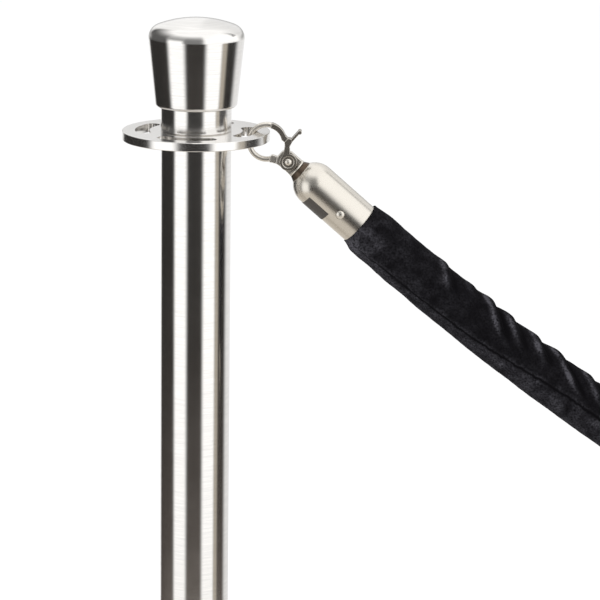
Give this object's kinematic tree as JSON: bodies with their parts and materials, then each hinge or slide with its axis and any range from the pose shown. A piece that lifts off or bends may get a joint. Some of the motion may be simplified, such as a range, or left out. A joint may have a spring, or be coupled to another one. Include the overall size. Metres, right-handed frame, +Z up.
{
  "type": "rope barrier stanchion",
  "caption": "Free-standing crowd barrier post with a weighted round base, slotted ring plate, crown finial and a velvet rope on swivelling trigger snap hooks.",
  "frame": {"origin": "bottom centre of the base, on the floor under the tube's axis", "axes": "+Z up along the tube, +X towards the rope, +Y away from the side shown first"},
  "size_m": [0.5848, 0.3556, 1.016],
  "materials": {
    "stainless": "brushed",
    "spun_stainless": "satin",
    "zinc_steel": "zinc plated",
    "cast_iron": "painted casting",
    "rubber": "moulded",
    "satin_nickel": "satin plated",
    "bright_nickel": "polished plated",
    "spring_steel": "drawn wire",
    "label_film": "printed film, plain",
    "rope_cotton": "braided",
    "velvet": "short pile"
  },
  "bodies": {
    "post": {"floor_ring": "rubber", "base_weight": "cast_iron", "base_cover": "spun_stainless", "base_bolt": "zinc_steel", "base_washer": "zinc_steel", "base_lock_washer": "zinc_steel", "foot_plug": "zinc_steel", "foot_collar": "spun_stainless", "post_tube": "stainless", "top_plug": "zinc_steel", "ring_plate": "stainless", "finial_stud": "zinc_steel", "finial_neck": "stainless", "finial_insert": "zinc_steel", "finial_crown": "stainless"},
    "near_hook": {"near_hook_body": "bright_nickel", "near_trigger_rivet": "bright_nickel", "near_trigger_spring": "spring_steel", "near_swivel_pin": "zinc_steel"},
    "near_trigger": {"near_trigger": "bright_nickel"},
    "rope": {"near_ferrule_collar": "bright_nickel", "near_ferrule": "satin_nickel", "near_ferrule_screws": "bright_nickel", "near_ferrule_label": "label_film", "rope_core": "rope_cotton", "rope_cover": "velvet", "far_ferrule": "satin_nickel", "far_ferrule_collar": "bright_nickel", "far_ferrule_screws": "bright_nickel"},
    "far_hook": {"far_hook_body": "bright_nickel", "far_trigger_rivet": "bright_nickel", "far_trigger_spring": "spring_steel", "far_swivel_pin": "zinc_steel"},
    "far_trigger": {"far_trigger": "bright_nickel"}
  },
  "joints": [
    {"name": "rope_swing", "type": "hinge", "parent": "post", "child": "near_hook", "pos_m": [0.051, 0, 0.92685], "axis": [0, 1, 0], "range_deg": [-41, 44]},
    {"name": "near_trigger_pull", "type": "hinge", "parent": "near_hook", "child": "near_trigger", "pos_m": [0.0666, 0, 0.91279], "axis": [0, 1, 0], "range_deg": [0, 30], "stiffness_Nm_per_rad": 0.08, "springref_deg": -14.32},
    {"name": "near_swivel", "type": "hinge", "parent": "near_hook", "child": "rope", "pos_m": [0.07316, 0, 0.90745], "axis": [0.7524, 0, -0.6587], "continuous": true},
    {"name": "far_swivel", "type": "hinge", "parent": "rope", "child": "far_hook", "pos_m": [0.36812, 0, 0.67883], "axis": [-0.829, 0, 0.5592], "continuous": true},
    {"name": "far_trigger_pull", "type": "hinge", "parent": "far_hook", "child": "far_trigger", "pos_m": [0.37496, 0, 0.67385], "axis": [0, -1, 0], "range_deg": [0, 30], "stiffness_Nm_per_rad": 0.08, "springref_deg": -14.32}
  ]
}
